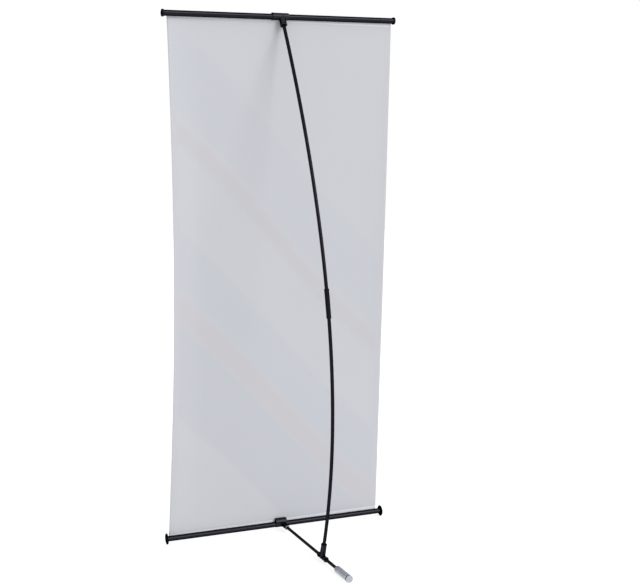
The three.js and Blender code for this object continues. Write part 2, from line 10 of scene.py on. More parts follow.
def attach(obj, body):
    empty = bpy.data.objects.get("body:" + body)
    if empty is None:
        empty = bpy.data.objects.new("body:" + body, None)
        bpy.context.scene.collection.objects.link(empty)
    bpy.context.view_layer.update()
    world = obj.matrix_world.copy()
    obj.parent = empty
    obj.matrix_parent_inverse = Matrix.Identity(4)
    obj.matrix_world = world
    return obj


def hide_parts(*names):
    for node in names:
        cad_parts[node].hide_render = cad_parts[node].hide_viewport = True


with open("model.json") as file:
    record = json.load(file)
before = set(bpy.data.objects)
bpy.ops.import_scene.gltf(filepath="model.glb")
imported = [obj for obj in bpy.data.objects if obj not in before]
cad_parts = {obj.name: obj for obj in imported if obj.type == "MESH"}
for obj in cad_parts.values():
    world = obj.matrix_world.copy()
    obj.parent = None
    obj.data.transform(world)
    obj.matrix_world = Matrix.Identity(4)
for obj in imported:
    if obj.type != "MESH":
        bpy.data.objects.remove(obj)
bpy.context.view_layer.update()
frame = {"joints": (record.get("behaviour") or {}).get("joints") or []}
pivots = {joint["name"]: Vector(joint["pos_m"]) for joint in frame["joints"] if "pos_m" in joint}

# The two rails are drawn aluminium tubes with a black coat. Each has a slot along it, with
# rolled-in lips, that the film's hem is pushed into from the end. The film and the pole between
# them are all that holds the rails apart.
rail_length = 0.820
rail_radius = 0.0095
rail_wall = 0.0015
slot_half_width = 0.0012
slot_offset = 0.006
slot_lip_rounding = 0.0004
rail_steps = 72
banner_lean = math.radians(2.5)
coat_colour = (0.0135, 0.0135, 0.0180, 1)
coat_along_lines = (0.0200, 0.0200, 0.0250, 1)
bottom_axis = pivots["leg_hinge"]
top_axis = pivots["pole_swing"]
along_x = Vector((1, 0, 0))
lean = Quaternion(along_x, banner_lean)


def feed(socket, value):
    """Sets a socket, or links it where the value is another node's output."""
    if isinstance(value, bpy.types.NodeSocket):
        socket.id_data.links.new(value, socket)
    else:
        socket.default_value = value


def add_node(owner, kind, inputs=None, **settings):
    """A new node in a material, a world or a node group, or beside the node that a socket is on."""
    tree = getattr(owner.id_data, "node_tree", owner.id_data)
    node = tree.nodes.new(kind)
    for key, value in settings.items():
        setattr(node, key, value)
    for key, value in (inputs or {}).items():
        feed(node.inputs[key], value)
    return node


def maths(operation, *values):
    owner = next(value for value in values if isinstance(value, bpy.types.NodeSocket))
    node = add_node(owner, "ShaderNodeMath", dict(enumerate(values)), operation=operation)
    return node.outputs["Value"]


def straightened(material, stretch):
    """Where a point lies on its tube or turned piece once that is laid out straight. The length is
    divided by stretch, so that a pattern is drawn out along the piece."""
    grain = add_node(material, "ShaderNodeAttribute", attribute_name="grain").outputs["Vector"]
    mapping = add_node(material, "ShaderNodeMapping", {"Vector": grain, "Scale": (1, 1, 1 / stretch)})
    return mapping.outputs["Vector"]


def spread(value, low, high):
    """Turns a pattern of 0 to 1 into a value between low and high."""
    limits = {"Value": value, "To Min": low, "To Max": high}
    return add_node(value, "ShaderNodeMapRange", limits).outputs["Result"]


def slope(value, none_at, full_at):
    """0 where the value is none_at or beyond it, 1 where it is full_at or beyond, and even in between."""
    limits = {"Value": value, "From Min": none_at, "From Max": full_at}
    return add_node(value, "ShaderNodeMapRange", limits).outputs["Result"]


def noise_of(place, scale, detail=2.0):
    made = add_node(place, "ShaderNodeTexNoise", {"Vector": place, "Scale": scale, "Detail": detail})
    return made.outputs["Fac"]


def parts_of(place):
    return add_node(place, "ShaderNodeSeparateXYZ", {"Vector": place}).outputs


def tinted(factor, one, other):
    mix = add_node(factor, "ShaderNodeMix", {"Factor": factor}, data_type="RGBA")
    feed(mix.inputs["A"], one)
    feed(mix.inputs["B"], other)
    return mix.outputs["Result"]


def toned(colour, factor):
    """A lighter tone of the colour, or a darker one where the factor is below 1."""
    return tuple(factor * part for part in colour[:3]) + (1,)


def plain_finish(name, colour, roughness, metallic=0.0, specular=0.5, edge_sheen=1.0):
    material = bpy.data.materials.new(name)
    material.use_nodes = True
    for key, value in (
        ("Base Color", colour),
        ("Roughness", roughness),
        ("Metallic", metallic),
        ("Specular IOR Level", specular),
        ("Specular Tint", (edge_sheen, edge_sheen, edge_sheen, 1)),
    ):
        material.node_tree.nodes["Principled BSDF"].inputs[key].default_value = value
    return material


def dress(material, height, depth, strength, patterns):
    """Raises the finish's surface by a height pattern, and feeds other patterns to its inputs."""
    relief = {"Height": height, "Distance": depth, "Strength": strength}
    patterns["Normal"] = add_node(material, "ShaderNodeBump", relief).outputs["Normal"]
    for key, value in patterns.items():
        feed(material.node_tree.nodes["Principled BSDF"].inputs[key], value)


def black_coat(name, stretch, edge_sheen):
    """A black coat over drawn tube, with die lines along it and a sheen that dies away at the edges."""
    material = plain_finish(name, coat_colour, 0.3, metallic=1.0, edge_sheen=edge_sheen)
    lines = noise_of(straightened(material, stretch), 900, 3.0)
    patches = noise_of(straightened(material, 6), 60)
    dress(material, lines, 0.00005, 0.25, {
        "Base Color": tinted(lines, coat_colour, coat_along_lines),
        "Roughness": spread(patches, 0.20, 0.30),
    })
    return material


def rounded(outline, radius, closed=False):
    """The outline with each corner rounded off. Two points closer than the radius share what there is."""
    nearly_straight = math.radians(165)
    side_share = 0.45
    steps = 3
    corners = [Vector(point) for point in outline]
    count = len(corners)
    softened = []
    for index, corner in enumerate(corners):
        before = corners[index - 1] - corner
        after = corners[(index + 1) % count] - corner
        is_end = not closed and index in (0, count - 1)
        if is_end or before.angle(after) > nearly_straight:
            softened.append(corner)
            continue
        start = corner + before.normalized() * min(radius, before.length * side_share)
        end = corner + after.normalized() * min(radius, after.length * side_share)
        for step in range(steps + 1):
            share = step / steps
            softened.append(start * (1 - share) ** 2 + corner * 2 * share * (1 - share) + end * share ** 2)
    return softened


def skin(name, rings, grain, closed=False):
    """A closed mesh over a run of rings that all have the same count of points. The run's ends are
    filled unless it closes on itself. grain gives each point's place on the straightened piece."""
    build = bmesh.new()
    grain_layer = build.verts.layers.float_vector.new("grain")
    rows = []
    for ring, ring_grain in zip(rings, grain):
        row = [build.verts.new(point) for point in ring]
        for vert, place in zip(row, ring_grain):
            vert[grain_layer] = place
        rows.append(row)
    for row, next_row in zip(rows, rows[1:] + rows[:1] if closed else rows[1:]):
        for index, vert in enumerate(row):
            after = (index + 1) % len(row)
            build.faces.new((vert, row[after], next_row[after], next_row[index]))
    if not closed:
        build.faces.new(rows[0])
        build.faces.new(rows[-1])
    bmesh.ops.recalc_face_normals(build, faces=build.faces)
    mesh = bpy.data.meshes.new(name)
    build.to_mesh(mesh)
    build.free()
    return mesh


def in_scene(name, data):
    thing = bpy.data.objects.new(name, data)
    bpy.context.scene.collection.objects.link(thing)
    return thing


def fitted(mesh, material, body, slot, *nodes, sharp=38):
    """Makes the mesh a piece of the stand: it stands for the CAD nodes and moves with their body."""
    mesh.shade_smooth()
    mesh.set_sharp_from_angle(angle=math.radians(sharp))
    if material is not None:
        mesh.materials.clear()
        mesh.materials.append(material)
    piece = in_scene(mesh.name, mesh)
    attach(piece, body)
    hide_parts(*nodes)
    return piece


def rail_outline(side):
    """The tube's section across the banner, as pairs of Y and Z. side is 1 where the slot faces up."""
    inner = rail_radius - rail_wall
    points = []
    for radius, outwards in ((rail_radius, True), (inner, False)):
        near = math.acos((slot_offset + slot_half_width) / radius)
        far = math.acos((slot_offset - slot_half_width) / radius)
        sweep = 2 * math.pi - (far - near)
        for step in range(rail_steps + 1):
            share = step / rail_steps if outwards else 1 - step / rail_steps
            angle = far + sweep * share
            points.append((radius * math.cos(angle), side * radius * math.sin(angle)))
    return rounded(points, radius=slot_lip_rounding, closed=True)


def rail(name, axis, side):
    outline = rail_outline(side)
    half = rail_length / 2
    rings = [[axis + Vector((x, *point)) for point in outline] for x in (-half, half)]
    turned_rings = [[axis + lean @ (point - axis) for point in ring] for ring in rings]
    grain = [[(*point, x) for point in outline] for x in (-half, half)]
    return skin(name, turned_rings, grain)


rail_coat = black_coat("rail_coat", 300, 0.1)
for name, node, axis, side in (
    ("rail_top", "top_rail", top_axis, -1),
    ("rail_bottom", "bottom_rail", bottom_axis, 1),
):
    fitted(rail(name, axis, side), rail_coat, "banner", "black_coat", node)

# Rail caps are injection-moulded black plastic with a spigot that presses into the tube. The two
# below are wide discs and carry the banner frame on the floor, the two above are plain cups.
clearance = 0.0003
spigot_length = 0.0045
spigot_radius = rail_radius - rail_wall - clearance
spigot_taper = 0.0006
spigot_taper_length = 0.001
disc_radius = 0.0192
disc_neck = 0.012
disc_land = clearance + 0.00155
disc_rim = 0.0024
disc_face = clearance + 0.0055
disc_edge_slope = 0.0014
disc_edge_drop = 0.0008
disc_dish_radius = 0.0085
disc_dish_depth = 0.0009
cup_radius = 0.012
cup_skirt = 0.0025
cup_face = clearance + 0.0032
cup_dish_radius = 0.0075
cup_dish_depth = 0.0006
dish_slant = 0.0005
cap_sides = 96


def moulded(name, shade):
    """Black moulded plastic: a fine spark-eroded grain, flow patches and edges rubbed a little paler.
    Like the coat on the rails, its sheen dies away at the edges."""
    material = plain_finish(name, shade, 0.36, metallic=1.0, edge_sheen=0.25)
    place = add_node(material, "ShaderNodeTexCoord").outputs["Object"]
    flow = noise_of(place, 90)
    edge = add_node(material, "ShaderNodeNewGeometry").outputs["Pointiness"]
    flowed = tinted(flow, shade, toned(shade, 1.25))
    rubbed = tinted(slope(edge, 0.52, 0.62), flowed, toned(shade, 1.6))
    dress(material, noise_of(place, 2600, 3.0), 0.00003, 0.35, {
        "Base Color": rubbed, "Roughness": spread(flow, 0.30, 0.42),
    })
    return material


def round_skin(name, outline, sides, frames, closed):
    """A skin of round rings. The outline is pairs of radius and distance along, and frames are the
    middle of each ring and two ways across it."""
    angles = [2 * math.pi * side / sides for side in range(sides)]
    rings, grain = [], []
    for (radius, along), (middle, one_way, other_way) in zip(outline, frames):
        spokes = [one_way * math.cos(angle) + other_way * math.sin(angle) for angle in angles]
        rings.append([middle + spoke * radius for spoke in spokes])
        grain.append([(radius * math.cos(angle), radius * math.sin(angle), along) for angle in angles])
    return skin(name, rings, grain, closed)


def turned(name, outline, sides, direction, place, closed=False):
    """A turned solid: pairs of radius and distance along the axis, from place in the given direction."""
    direction = Vector(direction).normalized()
    one_way = direction.orthogonal().normalized()
    other_way = direction.cross(one_way)
    frames = [(Vector(place) + direction * along, one_way, other_way) for _, along in outline]
    return round_skin(name, outline, sides, frames, closed)


def band(inner, outer, start, end):
    """The outline of a plain round piece, from its inner radius to its outer one."""
    return [(inner, start), (outer, start), (outer, end), (inner, end)]


disc_outline = rounded([
    (spigot_radius - spigot_taper, -spigot_length),
    (spigot_radius, spigot_taper_length - spigot_length),
    (spigot_radius, clearance),
    (disc_neck, clearance),
    (disc_radius, disc_land),
    (disc_radius, disc_land + disc_rim),
    (disc_radius - disc_edge_slope, disc_face - disc_edge_drop),
    (disc_neck + 0.001, disc_face),
    (disc_dish_radius, disc_face),
    (disc_dish_radius - dish_slant, disc_face - disc_dish_depth),
    (0.0012, disc_face - disc_dish_depth),
], radius=0.0005)
cup_outline = rounded([
    (spigot_radius, -spigot_length),
    (spigot_radius, clearance),
    (rail_radius + clearance, clearance),
    (rail_radius + clearance, -cup_skirt),
    (cup_radius, -cup_skirt),
    (cup_radius, cup_face),
    (cup_dish_radius, cup_face),
    (cup_dish_radius - dish_slant, cup_face - cup_dish_depth),
    (0.001, cup_face - cup_dish_depth),
], radius=0.0007)
cap_plastic = moulded("cap_plastic", (0.0100, 0.0100, 0.0130, 1))
for name, node, axis, outline in (
    ("cap_top", "top_cap", top_axis, cup_outline),
    ("foot_disc", "bottom_cap", bottom_axis, disc_outline),
):
    for side_name, end in (("left", -1), ("right", 1)):
        place = axis + Vector((end * rail_length / 2, 0, 0))
        mesh = turned(f"{name}_{side_name}", outline, cap_sides, (end, 0, 0), place)
        fitted(mesh, cap_plastic, "banner", "black_plastic", f"{node}_{side_name}")

# The film is one white plastic sheet, printed on the front, with a rod in the hem at each end that
# keeps it in the rail. It came rolled up, so both side edges still curl back towards the pole.
film_width = 0.800
rail_spacing = (top_axis - bottom_axis).length
film_thickness = 0.0004
hem_rod_radius = 0.0025
hem_radius = hem_rod_radius + clearance + film_thickness / 2
hem_wrap = math.radians(250)
hem_centre = slot_offset - hem_radius
hem_steps = 14
film_rows = 96
film_columns = 64
edge_crowding = 0.6
curl_band = 0.120
curl_depth_left = 0.041
curl_depth_right = 0.004
curl_fullness = 0.7
ripple_depth = 0.0016
ripples_across = 5
ripples_along = 1.6
curl_hold = 0.012
curl_height = rail_spacing - 2 * curl_hold
hang_shift_top = 0.0045
hang_shift_bottom = -0.0040
border_width = 0.028
hem_depth = 0.0165
hem_skew = 0.0095
hem_blur = 0.0008
# How much lighter the film is painted over each hem rod: partly the doubled film, mostly painted light that
# lifts the rail's shade.
hem_painted_light_gain = 1.34
film_white = (0.650, 0.656, 0.684, 1)
print_ground = (0.86, 0.89, 0.93, 1)
deep_blue = (0.055, 0.20, 0.50, 1)
mid_blue = (0.16, 0.42, 0.72, 1)
light_blue = (0.34, 0.58, 0.82, 1)
warm_red = (0.62, 0.10, 0.14, 1)
ribbon_slant = 0.85
wave_rate = 5.2
wave_depth = 0.06
ribbons = (
    (0.22, 0.15, deep_blue), (0.44, 0.035, warm_red), (0.60, 0.085, mid_blue), (1.02, 0.022, warm_red),
    (1.22, 0.12, light_blue),
)


def film_line():
    """The film's path from the bottom hem to the top one, as pairs of Y and height."""
    turns = [hem_wrap * step / hem_steps for step in range(hem_steps + 1)]
    hem = [(hem_centre + hem_radius * math.cos(turn), hem_radius * math.sin(turn)) for turn in turns]
    bottom_hem = [(y, -height) for y, height in reversed(hem)]
    rise = [(slot_offset, curl_hold + curl_height * row / film_rows) for row in range(film_rows + 1)]
    top_hem = [(y, rail_spacing + height) for y, height in hem]
    return bottom_hem + rise + top_hem


def film_place(x, y, height):
    """A point of the hung film: curled back at the sides, and a little uneven where the roll has set."""
    share = min(max(height / rail_spacing, 0), 1)
    curl_share = min(max((height - curl_hold) / curl_height, 0), 1)
    between_hems = abs(math.sin(math.pi * curl_share))
    depth = (curl_depth_left if x < 0 else curl_depth_right) * between_hems ** curl_fullness
    inside = film_width / 2 - abs(x)
    band_share = max(0, 1 - inside / curl_band)
    edge_slope = 2 * depth / curl_band
    drawn_in = edge_slope ** 2 * curl_band * (1 - (1 - band_share) ** 3) / 6
    drawn_share = 1 - max(0, inside - curl_band) / (film_width / 2 - curl_band)
    unevenness = noise.noise(Vector((x * ripples_across, height * ripples_along, 0.4)))
    ripple = unevenness * ripple_depth * min(1, between_hems * 2)
    hang_shift = hang_shift_bottom + (hang_shift_top - hang_shift_bottom) * share
    local = Vector((
        hang_shift + x - math.copysign(drawn_in * drawn_share, x),
        y - depth * band_share ** 2 + ripple,
        height,
    ))
    return bottom_axis + lean @ local


def film_mesh():
    build = bmesh.new()
    line = film_line()
    lengths = [0.0]
    for one, other in zip(line, line[1:]):
        lengths.append(lengths[-1] + math.dist(one, other))
    first_row = lengths[hem_steps]
    half = film_width / 2
    across = []
    for column in range(film_columns + 1):
        even = 2 * column / film_columns - 1
        crowded = math.sin(math.pi * (column / film_columns - 0.5))
        across.append(half * (edge_crowding * crowded + (1 - edge_crowding) * even))
    rows = [[build.verts.new(film_place(x, y, height)) for x in across] for y, height in line]
    flat = build.loops.layers.uv.new("flat")
    for row in range(len(rows) - 1):
        for column in range(film_columns):
            corners = [(row + 1, column), (row + 1, column + 1), (row, column + 1), (row, column)]
            face = build.faces.new([rows[r][c] for r, c in corners])
            for loop, (r, c) in zip(face.loops, corners):
                loop[flat].uv = (across[c], lengths[r] - first_row)
    mesh = bpy.data.meshes.new("film")
    build.to_mesh(mesh)
    build.free()
    return mesh, lengths[-1]


def print_colour(material, softness):
    """A made-up print in pale blues and a warm red: broad diagonal ribbons over a field of dots."""
    place = add_node(material, "ShaderNodeUVMap", uv_map="flat").outputs["UV"]
    apart = parts_of(place)
    across, along = apart["X"], apart["Y"]
    wave = maths("SINE", maths("MULTIPLY", across, wave_rate))
    slant = maths("ADD", along, maths("MULTIPLY", across, ribbon_slant))
    diagonal = maths("ADD", slant, maths("MULTIPLY", wave, wave_depth))
    lattice = {"Vector": place, "Scale": 42, "Randomness": 0}
    scattered = add_node(material, "ShaderNodeTexVoronoi", lattice)
    size = add_node(material, "ShaderNodeMapRange", {
        "Value": along, "From Min": 1.05, "From Max": 1.65, "To Min": 0.40, "To Max": 0.05,
    })
    inside = maths("SUBTRACT", size.outputs["Result"], scattered.outputs["Distance"])
    dot_edge = maths("DIVIDE", inside, 0.02 + 11 * softness)
    dots = add_node(material, "ShaderNodeClamp", {"Value": maths("MULTIPLY", dot_edge, 0.55)})
    shown = maths("MULTIPLY", dots.outputs["Result"], slope(along, 1.0, 1.06))
    colour = tinted(shown, print_ground, mid_blue)
    for middle, half_width, ink in ribbons:
        off = maths("ABSOLUTE", maths("SUBTRACT", diagonal, middle))
        inked = slope(off, half_width + softness, half_width)
        colour = tinted(inked, colour, ink)
    off_middle = maths("ABSOLUTE", across)
    in_border = maths("SUBTRACT", film_width / 2 - border_width, off_middle)
    return colour, slope(in_border, -softness / 4, 0.0), place


def hem_band(place):
    """1 where the film is doubled and welded over its hem rod, next to either rail."""
    apart = parts_of(place)
    off_middle = maths("ABSOLUTE", maths("SUBTRACT", apart["Y"], rail_spacing / 2))
    skewed = maths("MULTIPLY_ADD", apart["X"], hem_skew, off_middle)
    edge = rail_spacing / 2 - hem_depth
    return slope(skewed, edge - hem_blur, edge + hem_blur)


def film_face(name, white, softness, strength):
    """White film with a print on it. strength is how much of the print is seen."""
    material = plain_finish(name, white, 0.5, specular=0.35)
    colour, printed, place = print_colour(material, softness)
    clouded = tinted(noise_of(place, 3.5), white, toned(white, 0.965))
    # Over the hem rod the film is painted lighter: partly the doubled film, mostly painted light that lifts
    # the shade the rail casts on it.
    ground = tinted(hem_band(place), clouded, toned(white, hem_painted_light_gain))
    dress(material, noise_of(place, 1800, 3.0), 0.0001, 0.12, {
        "Base Color": tinted(maths("MULTIPLY", printed, strength), ground, colour),
        "Roughness": spread(noise_of(place, 14), 0.44, 0.60),
    })
    return material


film_surface, film_length = film_mesh()
film_surface.materials.append(film_face("film_front", (0.80, 0.81, 0.83, 1), 0.004, 1.0))
film_surface.materials.append(film_face("film_back", film_white, 0.030, 0.036))
film = fitted(film_surface, None, "banner", "film", "banner_sheet", sharp=60)
thickness = film.modifiers.new("thickness", "SOLIDIFY")
thickness.thickness = film_thickness
thickness.offset = 0
thickness.material_offset = 1
thickness.material_offset_rim = 1

# The hem rods are extruded grey plastic, cut a little shorter than the film is wide. Each lies
# loose in its hem, inside the rail, and is too thick to come out through the slot.
hem_rod_half = film_width / 2 - 0.002
hem_rod_edge = hem_rod_radius - 0.0008


def ridged_grey(name):
    material = plain_finish(name, (0.48, 0.50, 0.53, 1), 0.5)
    lines = noise_of(straightened(material, 200), 1500, 3.0)
    grey = tinted(lines, (0.44, 0.46, 0.49, 1), (0.52, 0.54, 0.57, 1))
    dress(material, lines, 0.0001, 0.3, {"Base Color": grey})
    return material


hem_grey = ridged_grey("hem_rod_grey")
hem_rod_band = band(hem_rod_edge, hem_rod_radius, -hem_rod_half, hem_rod_half)
hem_rod_outline = rounded(hem_rod_band, radius=0.0005)
for name, axis, node, shift in (
    ("hem_rod_top", top_axis, "top_hem_rod", hang_shift_top),
    ("hem_rod_bottom", bottom_axis, "bottom_hem_rod", hang_shift_bottom),
):
    place = axis + lean @ Vector((shift, hem_centre, 0))
    mesh = turned(name, hem_rod_outline, 32, along_x, place)
    fitted(mesh, hem_grey, "banner", "hem_rod", node)

# The top tee is moulded black plastic. A thin clip barrel snaps round the rail from the back, open
# towards the film, with a lip at its left end. Its branch slants down to the pole and holds it.
barrel_bore = rail_radius + clearance
lower_radius = barrel_bore + 0.0009
top_barrel_left = -0.0355
top_barrel_right = 0.022
top_barrel_lip = 0.0008
top_barrel_lip_end = -0.0325
top_crown_radius = 0.0116
top_crown_rise = 0.0012
branch_tilt = math.radians(29.5)
branch_root = 0.012
branch_radius = 0.0112
branch_lip = 0.0006
branch_lip_length = 0.0051
branch_length = 0.034
pole_socket_radius = 0.00675
pole_socket_mouth = 0.00745
socket_floor = 0.014
cut_left = -0.04
cut_right = 0.03
cut_past = 0.002
opening_past_axis = 0.003
opening_height = 0.026
opening_depth = 0.030
tee_sides = 64
barrel_steps = 32
branch_way = Vector((0, -math.sin(branch_tilt), -math.cos(branch_tilt)))
top_tee_middle = top_axis + Vector((-0.0015, 0, 0))


def barrel_shape(start, end, crown, rise, growth=0.0):
    """A clip barrel's outside: two circles and the lines that touch both, drawn out along the rail."""
    lower = lower_radius + growth
    crown += growth
    touch = math.asin((lower - crown) / rise)
    outline = []
    for middle, radius, first, last in (
        (rise, crown, touch, math.pi - touch), (0, lower, math.pi - touch, 2 * math.pi + touch),
    ):
        angles = [first + (last - first) * step / barrel_steps for step in range(barrel_steps + 1)]
        outline += [(radius * math.cos(turn), middle + radius * math.sin(turn)) for turn in angles]
    rings = [[Vector((x, *point)) for point in outline] for x in (start, end)]
    return skin("barrel", rings, rings)


def lip(radius, height, start, end):
    """A raised lip round a socket, as pairs of radius and distance, its edges cut at 45 degrees."""
    crest = radius + height
    return [(radius, start), (crest, start + height), (crest, end - height), (radius, end)]


def box_shape(low, high):
    build = bmesh.new()
    bmesh.ops.create_cube(build, size=1)
    for vert in build.verts:
        vert.co = Vector(tuple(high[i] if vert.co[i] > 0 else low[i] for i in range(3)))
    mesh = bpy.data.meshes.new("box")
    build.to_mesh(mesh)
    build.free()
    return mesh


def evaluated(shape):
    bpy.context.view_layer.update()
    return bpy.data.meshes.new_from_object(shape.evaluated_get(bpy.context.evaluated_depsgraph_get()))


def combine(target, meshes, operation):
    """Joins or cuts the meshes into the target's shape, and gives back the objects that hold them."""
    others = [in_scene(mesh.name, mesh) for mesh in meshes]
    for other in others:
        modifier = target.modifiers.new(operation, "BOOLEAN")
        modifier.operation = operation
        modifier.solver = "EXACT"
        modifier.object = other
    return others


def moulding(name, outsides, cutters):
    """Melts the outside shapes into one with soft fillets, and then cuts the crisp bores into it."""
    outside = in_scene("outside", outsides[0])
    joined = combine(outside, outsides[1:], "UNION")
    melt = outside.modifiers.new("melt", "REMESH")
    melt.mode = "VOXEL"
    melt.voxel_size = 0.0004
    smooth = outside.modifiers.new("smooth", "SMOOTH")
    smooth.factor = 0.5
    smooth.iterations = 3
    body = in_scene("body", evaluated(outside))
    cut = combine(body, cutters, "DIFFERENCE")
    mesh = evaluated(body)
    mesh.name = name
    for helper in [outside, body] + joined + cut:
        bpy.data.objects.remove(helper)
    return mesh


def placed(mesh, place, turn=Quaternion()):
    mesh.transform(Matrix.Translation(place) @ turn.to_matrix().to_4x4())
    return mesh


def clip_cuts(middle, side):
    """A clip's bore and its open side, in line with the film. side is 1 where the film goes up."""
    near, far = -side * opening_past_axis, side * opening_height
    low = (cut_left, slot_offset - cut_past, min(near, far))
    high = (cut_right, opening_depth, max(near, far))
    bore_outline = [(barrel_bore, cut_left), (barrel_bore, cut_right)]
    bore = turned("rail_bore", bore_outline, tee_sides, along_x, middle)
    return bore, placed(box_shape(low, high), middle, lean)


tee_plastic = moulded("tee_plastic", (0.0230, 0.0230, 0.0280, 1))
top_crown = (top_crown_radius, top_crown_rise)
barrel = barrel_shape(top_barrel_left, top_barrel_right, *top_crown)
barrel_lip = barrel_shape(top_barrel_left, top_barrel_lip_end, *top_crown, top_barrel_lip)
branch_outline = [(branch_root, 0), (branch_radius, branch_length / 2)]
branch_outline += lip(branch_radius, branch_lip, branch_length - branch_lip_length, branch_length)
branch = turned("branch", branch_outline, tee_sides, branch_way, top_tee_middle)
socket_outline = [
    (pole_socket_radius, socket_floor),
    (pole_socket_radius, branch_length - 0.001),
    (pole_socket_mouth, branch_length + cut_past),
]
bore, opening = clip_cuts(top_tee_middle, -1)
socket = turned("pole_socket", socket_outline, tee_sides, branch_way, top_tee_middle)
outsides = [placed(barrel, top_tee_middle), placed(barrel_lip, top_tee_middle), branch]
mesh = moulding("tee_top", outsides, [bore, socket, opening])
fitted(mesh, tee_plastic, "pole", "black_plastic", "top_tee", sharp=32)

# The bottom tee is moulded of the same plastic and clips round the bottom rail in the same way.
# Its stub runs level to hold the leg, and has a hole underneath for a grub screw.
bottom_barrel_left = -0.028
bottom_barrel_right = 0.013
bottom_crown_radius = 0.0135
bottom_crown_rise = 0.0092
stub_root = 0.010
stub_shoulder = 0.0107
stub_radius = 0.0088
stub_chamfer = 0.0014
stub_length = 0.047
stub_screw_distance = 0.041
leg_socket_radius = 0.0057
screw_hole_radius = 0.0023
screw_hole_depth = 0.012
stub_screw_end = 0.0084
screw_sides = 36
leg_slope = math.radians(0.745)
leg_way = Vector((0, -math.cos(leg_slope), -math.sin(leg_slope)))
leg_root = bottom_axis + Vector((0.020, 0, 0))
screw_way = leg_way.cross(along_x) * -1
screw_place = leg_root + leg_way * stub_screw_distance


def on_leg(name, outline, sides, closed=False):
    return turned(name, outline, sides, leg_way, leg_root, closed)


barrel = barrel_shape(bottom_barrel_left, bottom_barrel_right, bottom_crown_radius, bottom_crown_rise)
stub_outline = [
    (stub_root, 0),
    (stub_root, stub_shoulder),
    (stub_radius, stub_length / 2),
    (stub_radius, stub_length - stub_chamfer),
    (stub_radius - stub_chamfer, stub_length),
]
stub = on_leg("stub", stub_outline, tee_sides)
socket_outline = [(leg_socket_radius, socket_floor), (leg_socket_radius, stub_length + cut_past)]
screw_outline = [(screw_hole_radius, 0), (screw_hole_radius, screw_hole_depth)]
bore, opening = clip_cuts(leg_root, 1)
socket = on_leg("leg_socket", socket_outline, tee_sides)
screw_hole = turned("screw_hole", screw_outline, 32, screw_way, screw_place)
outsides = [placed(barrel, leg_root), stub]
mesh = moulding("tee_bottom", outsides, [bore, socket, screw_hole, opening])
fitted(mesh, tee_plastic, "leg", "black_plastic", "bottom_tee", sharp=32)

# The leg is a black-coated tube pressed into the bottom tee, with a bright ring at the mouth, and
# a thinner rod that slides in it and carries the weight. Where the rod lies open it has a black
# sleeve, and the weight is pushed up to that. A steel grub screw in the stub locks the tube.
tube_radius = 0.0054
rod_radius = 0.0046
rod_bore = rod_radius + clearance
foot_distance = 0.354
sleeve_start = foot_distance - 0.024
weight_distance = 0.474
weight_bore_depth = 0.080
tube_start = socket_floor + clearance
tube_end = sleeve_start + 0.016
rod_start = tube_end - 0.150
rod_end = weight_distance + weight_bore_depth - clearance
open_start = foot_distance + 0.024
open_end = weight_distance - 0.0005
ring_start = stub_length + clearance
ring_end = ring_start + 0.0026
ring_radius = 0.0069
screw_radius = 0.002
screw_chamfer = 0.0004
screw_end_radius = 0.0017
key_radius = 0.00115
key_depth = 0.001
leg_sides = 64


def bright_steel(name, roughness, stretch):
    """Bright drawn steel: fine scratches along the piece over a slightly uneven polish."""
    material = plain_finish(name, (0.60, 0.61, 0.68, 1), roughness, metallic=0.85)
    lines = noise_of(straightened(material, stretch), 1600, 3.0)
    dress(material, lines, 0.0001, 0.2, {
        "Base Color": tinted(lines, (0.56, 0.57, 0.63, 1), (0.70, 0.71, 0.77, 1)),
        "Roughness": spread(lines, roughness - 0.06, roughness + 0.08),
    })
    return material


leg_coat = black_coat("leg_coat", 120, 0.55)
tube_band = band(rod_bore, tube_radius, tube_start, tube_end)
tube_outline = rounded(tube_band, radius=0.0002, closed=True)
mesh = on_leg("leg_tube_outer", tube_outline, leg_sides, closed=True)
fitted(mesh, leg_coat, "leg", "black_coat", "leg_tube")

bright_ring = bright_steel("ring_steel", 0.24, 4)
ring_band = band(leg_socket_radius, ring_radius, ring_start, ring_end)
ring_outline = rounded(ring_band, radius=0.0005, closed=True)
mesh = on_leg("leg_mouth_ring", ring_outline, leg_sides, closed=True)
fitted(mesh, bright_ring, "leg", "steel", "leg_stop_ring")

leg_rod_outline = rounded([
    (rod_radius - 0.001, rod_start),
    (rod_radius, rod_start),
    (rod_radius, open_start),
    (tube_radius, open_start),
    (tube_radius, open_end),
    (rod_radius, open_end),
    (rod_radius, rod_end),
    (rod_radius - 0.001, rod_end),
], radius=0.0004)
mesh = on_leg("leg_rod_inner", leg_rod_outline, leg_sides)
fitted(mesh, leg_coat, "foot", "black_coat", "leg_rod")


def grub_screw(name, tip, end, direction, place, body, node):
    """A short set screw, without its hidden thread, and with a round recess for the key in its end."""
    outline = rounded([
        (screw_radius - screw_chamfer, tip),
        (screw_radius, tip + screw_chamfer),
        (screw_radius, end - screw_chamfer),
        (screw_end_radius, end),
        (key_radius, end),
    ], radius=0.0002)
    outline += [(key_radius - 0.0001, end - key_depth), (0.0002, end - key_depth - 0.0002)]
    mesh = turned(name, outline, screw_sides, direction, place)
    fitted(mesh, bright_ring, body, "steel", node)


grub_screw("stub_screw", leg_socket_radius, stub_screw_end, screw_way, screw_place, "leg", "leg_lock_screw")

